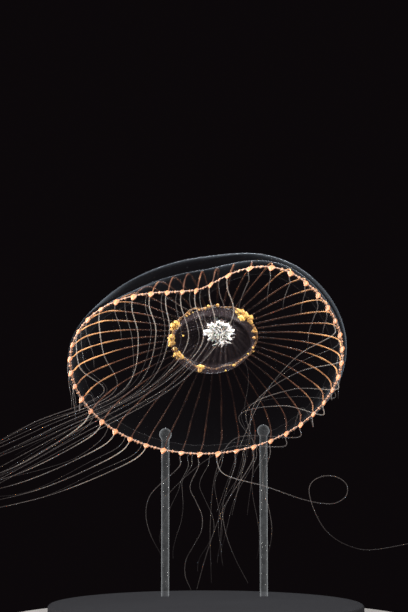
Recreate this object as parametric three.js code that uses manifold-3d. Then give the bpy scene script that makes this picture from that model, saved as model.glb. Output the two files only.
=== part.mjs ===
// Crystal jelly (Aequorea victoria), an adult medusa as a still model on a display stand.
// Millimetres, +Z up. The origin is the centre of the underside of the stand's base.
// The animal swims with its mouth side forward (-Y) and down, and its crown back and up.

import * as THREE from 'three';
import { mergeVertices } from 'three/addons/utils/BufferGeometryUtils.js';
import Module from 'manifold-3d';

const wasm = await Module();
wasm.setup();

// ---------------------------------------------------------------- driving dimensions

const GAP = 0.3;                    // clearance left between neighbouring pieces

// pose
const BELL_CENTRE = new THREE.Vector3(0, -10, 95);   // middle of the margin
const AXIS_RISE = 47;               // degrees the crown end of the axis points above level
const ROLL = 2.1;                   // degrees the right side is lifted

// bell
const MARGIN_RADIUS = 50;
const BELL_HEIGHT = 19.3;           // margin to the outside of the crown
const HOLLOW_DEPTH = 13.6;          // margin to the roof of the hollow
const RIM_LIFT = 0.95;              // the jelly starts this far above the ring canal's middle
const RIM_OUT = 1.3;                // how far the jelly stands outside the ring canal
const RIM_IN = 0.3;                 // and inside it
const OUTER_POWER = 2.1;            // superellipse powers: 2 is an ellipse, more is boxier
const INNER_POWER = 2.3;
const LEAN = 0.28;                  // sideways drift of the crown, per mm of height
const OUTER_RINGS = 8;
const INNER_RINGS = 6;
const RING_CROWDING = 1.15;         // above 1 the rings crowd towards the margin

// the margin is folded in where the swimming stroke pulls it, next to a slight bulge
const FOLD = { share: 0.31, at: 264.7, toLeft: 42.6, toRight: 23 };
const BULGE = { share: 0.036, at: 302, width: 20 };
const FOLD_REACH = 21;              // height at which the fold has died out
const FOLD_FADE = 1.25;             // and the power it fades with
const SAG = { share: 0.06, at: 222, width: 38, rise: 5 };   // the wall above the margin hangs in here
const OUTER_EASE = 0.38;            // the outside follows this much less of both

// digestive system
const CANALS = 44;                  // radial canals, one to each large bulb
const PITCH = 360 / CANALS;
const CANAL_WIDTH = 0.9;
const CANAL_HEIGHT = 0.55;
const CANAL_ENDS = [0.12, 0.95];    // rings of the hollow's wall short of the margin and of the crown
const QUADRANTS = ['upper_right', 'upper_left', 'lower_left', 'lower_right'];
const STOMACH_RADIUS = 15.1;
const STOMACH_DEPTH = 5.2;
const STOMACH_SIDES = 24;
const STOMACH_BULGE = 1.02;         // the side's widest place, as a share of the radius
const STOMACH_RIM_WIDTH = 1.3;
const STOMACH_RIM_HEIGHT = 1.5;     // at its inside edge
const STOMACH_RIM_EDGE = 1;         // and at its outside edge

// mouth lips, a ruffled tuft under the stomach
const MOUTH_OFFSET = new THREE.Vector2(3.2, -7.2);   // from the leaning axis
const MOUTH_RADIUS = 2.6;
const MOUTH_DROP = 2.6;             // below the top of the stomach's side
const LIP_REACH = 5.2;
const LIP_DROP = 3.6;
const LIP_LOBES = 8;
const LIP_SIDES = 32;

// margin
const SECTORS = 11;                 // lengths the ring canal is divided into
const BULBS_PER_SECTOR = CANALS / SECTORS;
const RING_TOP = 0.5;               // above the ring canal's middle
const SECTOR_CUT = 0.025;           // half the cut between two lengths, in pitches
const BULB_HALF_SPAN = 0.2;         // along the margin, in pitches
// [half thickness at the top, at the bottom, depth below the ring canal's middle]
const PLAIN_SECTION = [0.5, 0.5, 0.62];
const SMALL_BULB_SECTION = [0.6, 0.42, 1.1];
const BULB_SECTION = [0.85, 0.36, 2.4];
const VELUM_WIDTH = 3.2;
const VELUM_THICKNESS = 0.5;
const VELUM_RISE = 0.5;             // of its free edge

// tentacles
const TENTACLE_RADIUS = 0.36;       // out to a corner, which makes it 0.54 thick
const ROOT_DEPTH = 0.8;             // below the ring canal's middle, where it starts inside its bulb
const BASAL_LENGTH = 9;             // the length that is one piece with its bulb
const TRACE_STEP = 0.5;             // the bend is followed in steps this long
const MAX_TURN = 0.5;               // radians of bend that one facet may take up
const MAX_STEP = 13;
const LONGEST_PIECE = 105;          // a longer tentacle is made in several lengths
const LOOPED_PIECE = 40;            // and one with a loop in shorter ones, so that none closes on itself

// stand
const BASE_RADIUS = 58;
const BASE_HEIGHT = 6;
const BASE_BEVEL = 1;
const BASE_SIDES = 36;
const ROD_RADIUS = 1.5;
const ROD_SIDES = 12;
const ROD_SOCKET = 4;
const BALL_RADIUS = 2.4;            // the rod's round top, which just meets the jelly
const ROD_ANGLE = 22;               // degrees either side of the lowest point of the margin
const ROD_REACH = 0.22;             // how far up the bell's side it meets it: 0 margin, 1 crown

// ---------------------------------------------------------------- finishes

function finish(color, roughness, opacity = 1) {
  const transparent = opacity < 1;
  return new THREE.MeshStandardMaterial({ color, roughness, metalness: 0, opacity, transparent });
}
const JELLY = finish('#aebccb', 0.08, 0.25);
const CANAL = finish('#d9b48c', 0.35);
const STOMACH = finish('#b9aaa6', 0.25, 0.6);
const LIPS = finish('#fbf3e2', 0.4);
const MARGIN = finish('#f0bd80', 0.35);
const TENTACLE = finish('#d8d3cb', 0.3);
const ACRYLIC = finish('#dfe6ea', 0.05, 0.3);
const BASE = finish('#17181a', 0.45);

// ---------------------------------------------------------------- small helpers

const radians = (degrees) => degrees * Math.PI / 180;

/** The difference between two bearings, from -180 to 180 degrees. */
function bearing(angle, from) {
  return ((angle - from) % 360 + 540) % 360 - 180;
}

/** A repeatable number from -1 to 1 that differs from index to index. */
function vary(index, seed) {
  const value = Math.sin(index * 12.9898 + seed * 78.233) * 43758.5453;
  return 2 * (value - Math.floor(value)) - 1;
}

/** Numbers from `first` to `last`, both included. */
function range(count, first, last) {
  return Array.from({ length: count }, (_, i) => first + (last - first) * i / (count - 1));
}

/** Turns a closed list of triangles so that its faces point outward. */
function facingOut(positions, triangles) {
  const corner = (i) => new THREE.Vector3().fromArray(positions, 3 * i);
  let volume = 0;
  for (let t = 0; t < triangles.length; t += 3) {
    const [a, b, c] = [corner(triangles[t]), corner(triangles[t + 1]), corner(triangles[t + 2])];
    volume += a.dot(b.cross(c));
  }
  return volume < 0 ? triangles.toReversed() : triangles;
}

function meshGeometry(positions, triangles) {
  const geometry = new THREE.BufferGeometry();
  geometry.setAttribute('position', new THREE.BufferAttribute(new Float32Array(positions), 3));
  geometry.setIndex(facingOut(positions, triangles));
  return geometry;
}

/**
 * A closed body through a row of rings of points. A ring of a single point is a pole; any other
 * ring at an end is capped. With `loop`, the last ring joins the first.
 */
function loft(rings, loop = false) {
  const positions = rings.flat().flatMap((point) => point.toArray());
  const start = [];
  rings.reduce((total, ring) => (start.push(total), total + ring.length), 0);
  const triangles = [];
  const joints = loop ? rings.length : rings.length - 1;
  for (let r = 0; r < joints; r++) {
    const next = (r + 1) % rings.length;
    const [here, there] = [rings[r].length, rings[next].length];
    const sides = Math.max(here, there);
    for (let s = 0; s < sides; s++) {
      const a = start[r] + s % here;
      const b = start[r] + (s + 1) % here;
      const c = start[next] + s % there;
      const d = start[next] + (s + 1) % there;
      if (a !== b) triangles.push(a, b, d);
      if (c !== d) triangles.push(a, d, c);
    }
  }
  if (!loop) {
    const last = rings.length - 1;
    const [front, back] = [start[0], start[last]];
    for (let s = 1; s < rings[0].length - 1; s++) triangles.push(front, front + s + 1, front + s);
    for (let s = 1; s < rings[last].length - 1; s++) triangles.push(back, back + s, back + s + 1);
  }
  return meshGeometry(positions, triangles);
}

/** A closed body as a manifold solid, for joining and cutting. */
function solid(geometry) {
  const bare = geometry.clone();
  bare.deleteAttribute('normal');
  bare.deleteAttribute('uv');
  const merged = mergeVertices(bare, 1e-5);
  const mesh = new wasm.Mesh({
    numProp: 3,
    vertProperties: new Float32Array(merged.attributes.position.array),
    triVerts: new Uint32Array(merged.index.array),
  });
  return new wasm.Manifold(mesh);
}

function geometryOf(manifold) {
  const mesh = manifold.getMesh();
  const geometry = new THREE.BufferGeometry();
  geometry.setAttribute('position', new THREE.BufferAttribute(new Float32Array(mesh.vertProperties), 3));
  geometry.setIndex(new THREE.BufferAttribute(new Uint32Array(mesh.triVerts), 1));
  return geometry;
}

/** Several bodies that touch, joined into one. */
function joined(geometries) {
  return geometryOf(geometries.map(solid).reduce((whole, piece) => whole.add(piece)));
}

const model = new THREE.Group();
const animal = new THREE.Group();
animal.position.copy(BELL_CENTRE);
animal.rotation.set(-radians(90 - AXIS_RISE), -radians(ROLL), 0, 'YXZ');
animal.updateMatrixWorld(true);
model.add(animal);

/** From the room (measured from the bell's centre) into the bell's own axes, and back. */
const roomToBell = animal.quaternion.clone().invert();
const inRoom = (point) => point.clone().applyQuaternion(animal.quaternion);

function addPiece(parent, name, geometry, material) {
  const mesh = new THREE.Mesh(geometry, material);
  mesh.name = name;
  parent.add(mesh);
}

// ---------------------------------------------------------------- the bell's surfaces
// In the bell's own axes +Z runs from the margin to the crown, +X is to the right as seen from
// the front, and +Y to the lowest part of the margin. Angles run from +X towards +Y.

/** The share of the radius by which the margin is drawn in at an angle. */
function foldAt(angle) {
  const off = bearing(angle, FOLD.at);
  const width = off > 0 ? FOLD.toRight : FOLD.toLeft;
  const out = BULGE.share * Math.exp(-((bearing(angle, BULGE.at) / BULGE.width) ** 2));
  return FOLD.share * Math.exp(-((off / width) ** 2)) - out;
}

/** A point of the wall at an angle and radius, `rise` above the rim, with the fold and the sag. */
function layerPoint(angle, radius, rise, ease) {
  const fade = Math.max(0, 1 - rise / FOLD_REACH) ** FOLD_FADE;
  const above = Math.min(1, rise / SAG.rise);
  const sag = SAG.share * Math.exp(-((bearing(angle, SAG.at) / SAG.width) ** 2)) * above;
  const spread = Math.min(1, radius / MARGIN_RADIUS) ** 2;
  const r = radius * (1 - (foldAt(angle) * fade + sag) * (1 - ease * above) * spread);
  return new THREE.Vector3(r * Math.cos(radians(angle)), r * Math.sin(radians(angle)), rise + RIM_LIFT);
}

/** The drift of the crown to one side. */
const leaning = (point) => point.setX(point.x + LEAN * point.z);

/** Radius and rise of a superellipse: t = 0 at the margin, 1 at the crown. */
function arch(radius, height, power, t) {
  const angle = t * Math.PI / 2;
  return [radius * Math.cos(angle) ** (2 / power), height * Math.sin(angle) ** (2 / power)];
}

function outerPoint(angle, t, out = 0) {
  const [radius, rise] = arch(MARGIN_RADIUS + RIM_OUT + out, BELL_HEIGHT - RIM_LIFT + out, OUTER_POWER, t);
  return leaning(layerPoint(angle, radius, rise, OUTER_EASE));
}

/** A point of the hollow's wall on a numbered ring, or between two of them: 0 is the rim. */
function wallPoint(angle, ring) {
  const onRing = (whole) => {
    const t = (whole / INNER_RINGS) ** RING_CROWDING;
    const [radius, rise] = arch(MARGIN_RADIUS - RIM_IN, HOLLOW_DEPTH - RIM_LIFT, INNER_POWER, t);
    return leaning(layerPoint(angle, radius, rise, 0));
  };
  const below = Math.min(Math.floor(ring), INNER_RINGS - 1);
  return onRing(below).lerp(onRing(below + 1), ring - below);
}

/** A point at an angle, radius and height of a round piece about the leaning axis. */
function levelPoint(angle, radius, height) {
  const [along, across] = [Math.cos(radians(angle)), Math.sin(radians(angle))];
  return leaning(new THREE.Vector3(radius * along, radius * across, height));
}

/** Two directions at a place of the hollow's wall: into the hollow, and along the wall sideways. */
function wallDirections(angle, ring) {
  const along = wallPoint(angle, ring + 0.2).sub(wallPoint(angle, Math.max(0, ring - 0.2))).normalize();
  const across = wallPoint(angle + 1, ring).sub(wallPoint(angle - 1, ring));
  const into = new THREE.Vector3().crossVectors(along, across).normalize();
  return [into, new THREE.Vector3().crossVectors(into, along)];
}

/** The height of the hollow's roof at a radius. */
function roofAt(radius) {
  const share = Math.min(1, radius / (MARGIN_RADIUS - RIM_IN));
  return RIM_LIFT + (HOLLOW_DEPTH - RIM_LIFT) * (1 - share ** INNER_POWER) ** (1 / INNER_POWER);
}

/** A point of the margin: the ring canal's middle, or so far inside it and above it. */
function marginPoint(angle, inset = 0, height = 0) {
  return levelPoint(angle, MARGIN_RADIUS * (1 - foldAt(angle)) - inset, height);
}

const around = (count, point) => Array.from({ length: count }, (_, i) => point(i * 360 / count));

/** Large bulbs and canals are counted anticlockwise, as seen from the mouth side, from the right. */
const spotAngle = (spot) => -(spot + 0.5) * PITCH;

function bell() {
  const ring = (surface, place) => around(CANALS, (angle) => surface(angle + PITCH / 2, place));
  const ringsOf = (surface, places) => places.map((place) => ring(surface, place));
  const outer = ringsOf(outerPoint, range(OUTER_RINGS + 1, 1, 0).slice(1));
  const inner = ringsOf(wallPoint, range(INNER_RINGS, 0, INNER_RINGS - 1));
  return loft([[outerPoint(0, 1)], ...outer, ...inner, [wallPoint(0, INNER_RINGS)]]);
}

// ---------------------------------------------------------------- stomach, canals and mouth

/** A disc-shaped bag under the middle of the roof, its floor drawn up towards the mouth. */
function stomach() {
  const top = roofAt(STOMACH_RADIUS) - GAP;
  const rise = roofAt(0) - roofAt(STOMACH_RADIUS) - GAP / 2;
  const side = [[0.97, 0], [1, -0.25], [STOMACH_BULGE, -0.6], [1, -0.88], [0.93, -1]];
  const wall = side.map(([share, drop]) => around(STOMACH_SIDES,
    (angle) => levelPoint(angle, share * STOMACH_RADIUS, top + drop * STOMACH_DEPTH)));
  const mouth = (radius) => (angle) => levelPoint(angle, radius, top - MOUTH_DROP)
    .add(new THREE.Vector3(MOUTH_OFFSET.x, MOUTH_OFFSET.y, 0));
  const floor = [around(STOMACH_SIDES, mouth(MOUTH_RADIUS)), [mouth(0)(0)]];
  return loft([[levelPoint(0, 0, top + rise)], ...wall, ...floor]);
}

/** One quarter of the thick edge of the stomach from which the canals spring. */
function stomachRim(firstSpot, lastSpot) {
  const inner = STOMACH_RADIUS * STOMACH_BULGE + GAP;
  const [width, height] = [STOMACH_RIM_WIDTH, STOMACH_RIM_HEIGHT];
  const corners = [[0, 0], [width, 0], [width, -STOMACH_RIM_EDGE], [0, -height]];
  const cut = 3 * SECTOR_CUT;
  const stations = range(CANALS / QUADRANTS.length + 1, firstSpot - 0.5 + cut, lastSpot + 0.5 - cut);
  return loft(stations.map((spot) => corners.map(([out, drop]) => {
    const radius = inner + out;
    return levelPoint(spotAngle(spot), radius, roofAt(radius) - GAP + drop);
  })));
}

/** A radial canal: a low ridge under the roof from the ring canal to the stomach's edge. */
function canal(spot) {
  const angle = spotAngle(spot);
  const [first, last] = [CANAL_ENDS[0], INNER_RINGS - CANAL_ENDS[1]];
  return loft([first, ...range(INNER_RINGS - 2, 1, INNER_RINGS - 2), last].map((ring) => {
    const [into, side] = wallDirections(angle, ring);
    const back = wallPoint(angle, ring).addScaledVector(into, GAP + 0.05);
    return [
      back.clone().addScaledVector(side, CANAL_WIDTH / 2),
      back.clone().addScaledVector(into, CANAL_HEIGHT),
      back.clone().addScaledVector(side, -CANAL_WIDTH / 2),
    ];
  }));
}

/** Ruffled lips: each ring opens wider and waves more, then the tuft closes on itself. */
function lips() {
  const top = roofAt(STOMACH_RADIUS) - MOUTH_DROP - 2 * GAP;
  const rings = [                       // [reach, drop, depth of the ruffle], as shares
    [0, 0, 0], [0.42, 0, 0.02], [0.5, 0.35, 0.1], [1, 0.8, 0.24], [0.62, 1, 0.3], [0, 0.7, 0],
  ];
  return loft(rings.map(([reach, drop, ruffle]) => {
    const point = (angle) => {
      const wave = 1 + ruffle * Math.cos(radians(angle * LIP_LOBES));
      const place = levelPoint(angle, reach * LIP_REACH * wave, top - drop * LIP_DROP);
      return place.add(new THREE.Vector3(MOUTH_OFFSET.x, MOUTH_OFFSET.y, 0));
    };
    return reach === 0 ? [point(0)] : around(LIP_SIDES, point);
  }));
}

// ---------------------------------------------------------------- tentacles
// Their ways are told as [across, away, up] in the room, from the bell's centre.

const at = (across, away, up) => new THREE.Vector3(across, away, up);
const mouthward = inRoom(new THREE.Vector3(0, 0, -1));
const bulbTip = (spot) => inRoom(marginPoint(spotAngle(spot), 0, -BULB_SECTION[2]));

/** The stream that the front tentacles are swept into, from in front of the stomach to the left. */
const stream = new THREE.QuadraticBezierCurve3(at(-3, -33, -1), at(-34, -21, -20), at(-94, -6, -49));

/** Hangs in front of the hollow from the upper margin, then is swept away with the stream. */
function frontWay(index, order, joins) {
  const tip = bulbTip(index);
  const lane = at(0, 2 * ((2 * order) % 3 - 1), 1.5 * order - 4);
  const hang = at(2 + vary(index, 2), -4 - 1.2 * (order % 3), -15 - 3 * vary(index, 3));
  return [
    tip.clone().addScaledVector(mouthward, 5),
    tip.clone().add(hang),
    stream.getPoint(joins).add(lane),
    stream.getPoint((1 + joins) / 2).addScaledVector(lane, 1.25),
    stream.getPoint(1).addScaledVector(lane, 1.5).add(at(9 * vary(index, 4), 0, 0)),
  ];
}

/** Leaves the lower left margin almost level, to the left. */
function leftWay(index, order) {
  const tip = bulbTip(index);
  const end = at(-92 + 4 * vary(index, 5), 3 + 3 * order, -46 - 2.6 * order);
  const away = end.clone().sub(tip);
  return [
    tip.clone().addScaledVector(mouthward, 2.5).addScaledVector(away, 0.04),
    tip.clone().addScaledVector(away, 0.2).add(at(0, -4, -3.5)),
    tip.clone().addScaledVector(away, 0.55).add(at(0, -3, -4)),
    end,
  ];
}

/** Crosses the hollow from the right to a place where several meet, then drops below the margin. */
function rightWay(index, order) {
  const tip = bulbTip(index);
  const meeting = at(21 - 3 * order, 2 - 2 * order, -13 - 2.5 * order);
  return [
    tip.clone().addScaledVector(mouthward, 4),
    tip.clone().lerp(meeting, 0.5).add(at(0, -4, 2)),
    meeting,
    at(13.5 + 2 * order, 6 - 2.5 * order, -29 - 1.5 * order),
    at(4 + 5.6 * order, 14 - 2.5 * order, -58 - 4 * vary(index, 8)),
  ];
}

/**
 * Tentacles that trail from the lowest part of the margin: where each one ends, how far it sways
 * from the straight way there, and in how many half waves.
 */
const TRAILING = new Map([
  [31, { end: at(-17, 25, -72), sway: at(-9, -2, 0), waves: 1 }],
  [32, { end: at(-5.5, 20, -85), sway: at(-3, 1, 0), waves: 3 }],
  [34, { end: at(16, 27, -83), sway: at(-7, 3, 0), waves: 1 }],
  [35, { end: at(-3.5, 23, -85), sway: at(-2.5, -4, 0), waves: 1 }],
  [36, { end: at(22.5, 29, -75), sway: at(-2, 3, 0), waves: 2 }],
  [37, { end: at(-16, 17, -51), sway: at(-2, -5, 6), waves: 1 }],
  [38, { end: at(2, 18, -82), sway: at(-12, -5, 20), waves: 1 }],
]);

function trailWay(index) {
  const { end, sway, waves } = TRAILING.get(index);
  const tip = bulbTip(index);
  const steps = 2 * waves + 3;
  return [
    tip.clone().addScaledVector(mouthward, 4),
    ...range(steps - 1, 2 / steps, 1).map((share) => tip.clone().lerp(end, share)
      .addScaledVector(sway, Math.sin(Math.PI * waves * share))),
  ];
}

const LOOPED = 33;

/** The longest tentacle trails away to the right and makes one open turn on the way. */
function loopedWay() {
  const centre = at(45.6, 17.5, -47.5);
  const [across, up, depth, count] = [7.4, 5.3, 5, 8];
  const turn = range(count, -110, 190).map((angle, i) => centre.clone().add(at(
    across * Math.cos(radians(angle)),
    -depth * i / (count - 1),
    up * Math.sin(radians(angle)),
  )));
  const before = [at(6.5, 28, -41.5), at(23, 22, -46.5), at(36, 19, -51)];
  const after = [at(44.5, 11, -62.5), at(56.5, 10, -69), at(73, 5, -67), at(86, 0, -63)];
  return [...before, ...turn, ...after];
}

const FRONT = [9, 10, 11, 12, 13, 14, 15, 17, 19];
const LEFT = [25, 26, 27, 28, 29];
const RIGHT = [2, 0, 42, 40];
const LONG = [...FRONT, ...LEFT, ...RIGHT, LOOPED, ...TRAILING.keys()];

/** A tentacle drawn up short. On the near side it hangs; on the far side it arches over. */
function shortWay(index) {
  const tip = bulbTip(index);
  const length = 12 + 4 * vary(index, 6);
  const side = -Math.sign(tip.x) * (0.7 + 0.3 * vary(index, 7));
  const start = tip.clone().addScaledVector(mouthward, 0.3 * length);
  const far = [[0.15, -0.45, 0.05], [0.4, -0.5, 0.25], [0.62, -0.45, -0.05], [0.7, -0.4, -0.4]];
  const near = [[0.1, -0.3, -0.45], [0.26, -0.45, -0.85], [0.3, -0.55, -1.2]];
  const bends = (tip.y > 10 ? far : near).map(([across, away, up]) => at(side * across, away, up));
  return [start, ...bends.map((bend) => tip.clone().addScaledVector(bend, length))];
}

function wayOf(index) {
  const [front, left, right] = [FRONT, LEFT, RIGHT].map((list) => list.indexOf(index));
  if (front >= 0) return frontWay(index, front, 0.04 + 0.05 * front);
  if (left >= 0) return leftWay(index, left);
  if (right >= 0) return rightWay(index, right);
  if (index === LOOPED) return loopedWay();
  return TRAILING.has(index) ? trailWay(index) : shortWay(index);
}

/** The whole centre line of a tentacle, from inside its bulb, in the room. */
function centreLine(index) {
  const root = inRoom(marginPoint(spotAngle(index), 0, -ROOT_DEPTH));
  return new THREE.CatmullRomCurve3([root, bulbTip(index), ...wayOf(index)], false, 'centripetal');
}

/** Places along part of a curve, as shares of its length, closer together where it bends. */
function stationsAlong(curve, from, to) {
  const length = curve.getLength();
  const fine = Math.max(8, Math.round((to - from) / TRACE_STEP));
  const samples = range(fine + 1, from, to).map((distance) => Math.min(1, distance / length));
  const kept = [samples[0]];
  let turned = 0;
  let walked = 0;
  for (let i = 1; i < fine; i++) {
    turned += curve.getTangentAt(samples[i]).angleTo(curve.getTangentAt(samples[i - 1]));
    walked += (to - from) / fine;
    if (turned > MAX_TURN || walked > MAX_STEP) {
      kept.push(samples[i]);
      turned = 0;
      walked = 0;
    }
  }
  return [...kept, samples[fine]];
}

/** A three-sided rod along part of a curve; its section is carried along without twisting. */
function strand(curve, from, to) {
  const normal = at(0.3, 1, 0.2);
  return loft(stationsAlong(curve, from, to).map((share) => {
    const ahead = curve.getTangentAt(share);
    normal.addScaledVector(ahead, -normal.dot(ahead)).normalize();
    const side = new THREE.Vector3().crossVectors(ahead, normal);
    const middle = curve.getPointAt(share);
    return around(3, (corner) => middle.clone()
      .addScaledVector(normal, TENTACLE_RADIUS * Math.cos(radians(corner)))
      .addScaledVector(side, TENTACLE_RADIUS * Math.sin(radians(corner))));
  }));
}

/** The free lengths of a long tentacle, as [from, to] along its curve. */
function freeLengths(curve, longest) {
  const free = curve.getLength() - BASAL_LENGTH;
  const pieces = Math.ceil(free / longest);
  const joint = (i) => BASAL_LENGTH + GAP / 2 + i * (free - GAP / 2) / pieces;
  return Array.from({ length: pieces }, (_, i) => [
    joint(i) + GAP / 2,
    joint(i + 1) - (i < pieces - 1 ? GAP / 2 : 0),
  ]);
}

// ---------------------------------------------------------------- margin

/** One length of the ring canal, swollen downwards into large bulbs and, between them, small ones. */
function ringCanal(firstSpot, count) {
  const ends = [firstSpot - 0.5 + SECTOR_CUT, firstSpot + count - 0.5 - SECTOR_CUT];
  const stations = [[ends[0], SMALL_BULB_SECTION]];
  for (let spot = firstSpot; spot < firstSpot + count; spot++) {
    stations.push([spot - BULB_HALF_SPAN, PLAIN_SECTION]);
    stations.push([spot, BULB_SECTION]);
    stations.push([spot + BULB_HALF_SPAN, PLAIN_SECTION]);
    stations.push([Math.min(spot + 0.5, ends[1]), SMALL_BULB_SECTION]);
  }
  return loft(stations.map(([spot, [top, bottom, depth]]) => {
    const place = (inset, height) => marginPoint(spotAngle(spot), inset, height);
    return [place(-top, RING_TOP), place(top, RING_TOP), place(bottom, -depth), place(-bottom, -depth)];
  }));
}

/** The margin's length number `sector`: ring canal, large and small bulbs, and their tentacles' roots. */
function marginSector(sector) {
  const first = sector * BULBS_PER_SECTOR;
  const roots = Array.from({ length: BULBS_PER_SECTOR }, (_, i) => {
    const curve = centreLine(first + i);
    const reach = LONG.includes(first + i) ? BASAL_LENGTH : curve.getLength();
    return strand(curve, 0, reach).applyQuaternion(roomToBell);
  });
  return joined([ringCanal(first, BULBS_PER_SECTOR), ...roots]);
}

/** The velum: a thin shelf just inside the ring canal, all the way round. */
function velum() {
  const outside = BULB_SECTION[0] + GAP;
  const [inside, half] = [outside + VELUM_WIDTH, VELUM_THICKNESS / 2];
  const [under, over] = [VELUM_RISE - half, VELUM_RISE + half];
  const corners = [[outside, half], [outside, -half], [inside, under], [inside, over]];
  const section = (angle) => corners.map(([inset, height]) => marginPoint(angle + PITCH / 2, inset, height));
  return loft(around(CANALS, section), true);
}

// ---------------------------------------------------------------- stand

/** The middle of a rod's ball, just clear of the jelly's outer wall near its lowest point. */
function ballCentre(side) {
  return inRoom(outerPoint(90 + side * ROD_ANGLE, ROD_REACH, BALL_RADIUS + GAP)).add(BELL_CENTRE);
}

/** Turns a profile of [radius, height] pairs about a vertical line. */
function turned(profile, sides) {
  const points = profile.map(([x, y]) => new THREE.Vector2(x, y));
  return new THREE.LatheGeometry(points, sides).rotateX(Math.PI / 2);
}

/** A flat round base with two blind sockets for the rods. */
function standBase() {
  const flat = BASE_RADIUS - BASE_BEVEL;
  const side = [[BASE_RADIUS, BASE_BEVEL], [BASE_RADIUS, BASE_HEIGHT - BASE_BEVEL]];
  const disc = turned([[0, 0], [flat, 0], ...side, [flat, BASE_HEIGHT], [0, BASE_HEIGHT]], BASE_SIDES);
  return geometryOf([-1, 1].reduce((base, which) => {
    const ball = ballCentre(which);
    const radius = ROD_RADIUS + GAP;
    const socket = new THREE.CylinderGeometry(radius, radius, 2 * ROD_SOCKET, ROD_SIDES).rotateX(Math.PI / 2);
    return base.subtract(solid(socket.translate(ball.x, ball.y, BASE_HEIGHT)));
  }, solid(disc)));
}

/** A straight rod that stands in its socket and ends in a ball. */
function standRod(side) {
  const ball = ballCentre(side);
  const foot = BASE_HEIGHT - ROD_SOCKET + GAP - ball.z;
  const neck = Math.asin(ROD_RADIUS / BALL_RADIUS);
  const onBall = (angle) => [BALL_RADIUS * Math.sin(angle), -BALL_RADIUS * Math.cos(angle)];
  const arc = [...range(4, neck, Math.PI).slice(0, -1).map(onBall), [0, BALL_RADIUS]];
  return turned([[0, foot], [ROD_RADIUS, foot], ...arc], ROD_SIDES).translate(ball.x, ball.y, ball.z);
}

// ---------------------------------------------------------------- assembly

addPiece(animal, 'bell', bell(), JELLY);
addPiece(animal, 'velum', velum(), JELLY);
addPiece(animal, 'stomach', stomach(), STOMACH);
addPiece(animal, 'mouth_lips', lips(), LIPS);

QUADRANTS.forEach((name, quadrant) => {
  const count = CANALS / QUADRANTS.length;
  const [first, last] = [quadrant * count, quadrant * count + count - 1];
  const canals = range(count, first, last).map(canal);
  addPiece(animal, `radial_canals_${name}`, joined([stomachRim(first, last), ...canals]), CANAL);
});

for (let sector = 0; sector < SECTORS; sector++) {
  addPiece(animal, `margin_${sector + 1}`, marginSector(sector), MARGIN);
}

for (const index of LONG) {
  const curve = centreLine(index);
  freeLengths(curve, index === LOOPED ? LOOPED_PIECE : LONGEST_PIECE).forEach(([from, to], piece) => {
    const geometry = strand(curve, from, to);
    geometry.translate(BELL_CENTRE.x, BELL_CENTRE.y, BELL_CENTRE.z);
    addPiece(model, `tentacle_${index + 1}_${'abcd'[piece]}`, geometry, TENTACLE);
  });
}

addPiece(model, 'stand_base', standBase(), BASE);
addPiece(model, 'stand_rod_left', standRod(1), ACRYLIC);
addPiece(model, 'stand_rod_right', standRod(-1), ACRYLIC);

export default model;
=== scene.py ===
# %% [markdown]
# # A crystal jelly on a display stand
# The animal is a clear saucer of jelly. Thin gold canals run under it from a round stomach in the
# middle to a ring canal at the margin, and fine tentacles trail from bulbs on that ring. Nearly
# everything is see-through, so the piece is built from outside to inside: first the curves that
# all parts share, then one smooth surface for each part, then its finish.

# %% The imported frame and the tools
import math

import bpy
import numpy as np
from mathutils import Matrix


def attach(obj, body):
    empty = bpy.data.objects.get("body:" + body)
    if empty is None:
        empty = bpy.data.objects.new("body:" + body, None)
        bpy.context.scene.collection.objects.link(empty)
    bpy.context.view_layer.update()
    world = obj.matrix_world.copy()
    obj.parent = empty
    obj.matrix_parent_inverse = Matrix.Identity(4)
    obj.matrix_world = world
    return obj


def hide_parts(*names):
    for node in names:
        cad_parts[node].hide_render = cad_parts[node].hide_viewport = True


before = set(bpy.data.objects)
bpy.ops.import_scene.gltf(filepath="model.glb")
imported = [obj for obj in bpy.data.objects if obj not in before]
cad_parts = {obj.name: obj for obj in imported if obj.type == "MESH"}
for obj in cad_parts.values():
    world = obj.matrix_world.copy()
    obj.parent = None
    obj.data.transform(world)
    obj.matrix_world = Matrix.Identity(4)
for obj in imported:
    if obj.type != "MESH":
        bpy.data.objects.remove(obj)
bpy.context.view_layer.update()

NODES = sorted(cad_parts)

# %% [markdown]
# ## Where the bell is
# The shapes below are worked out in millimetres in the bell's own axes: +Z points from the mouth
# side to the crown, +Y to the lowest part of the margin. One turn and one shift take them to the
# room. A single function does this for whole arrays, so no object ever needs to be moved.

# %% Bell axes and room axes
MM = 0.001
BELL_CENTRE = np.array([0.0, -10.0, 95.0])
AXIS_RISE = 47.0
ROLL = 2.1
TURN_BACK = -math.radians(90 - AXIS_RISE)
TURN_OVER = -math.radians(ROLL)
ABOUT_X = np.array([[1, 0, 0],
                    [0, math.cos(TURN_BACK), -math.sin(TURN_BACK)],
                    [0, math.sin(TURN_BACK), math.cos(TURN_BACK)]])
ABOUT_Y = np.array([[math.cos(TURN_OVER), 0, math.sin(TURN_OVER)],
                    [0, 1, 0],
                    [-math.sin(TURN_OVER), 0, math.cos(TURN_OVER)]])
TO_ROOM = ABOUT_Y @ ABOUT_X


def in_room(points):
    """Bell axes to offsets from the bell's centre, still in millimetres: rotation times point."""
    return np.asarray(points, float) @ TO_ROOM.T


print("crown points to", np.round(in_room([0, 0, 1]), 3))

# %% [markdown]
# ## The bell's two surfaces
# The outside and the hollow are both superellipses of revolution: boxier than an ellipse, so the
# crown is flat and the side drops quickly. The swimming stroke folds the margin in at one place,
# and that fold dies out up the wall. Writing the wall as a function of angle and rise means that
# the canals, the margin and the tentacles can all ask it for a place and will sit exactly on it.

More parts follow.
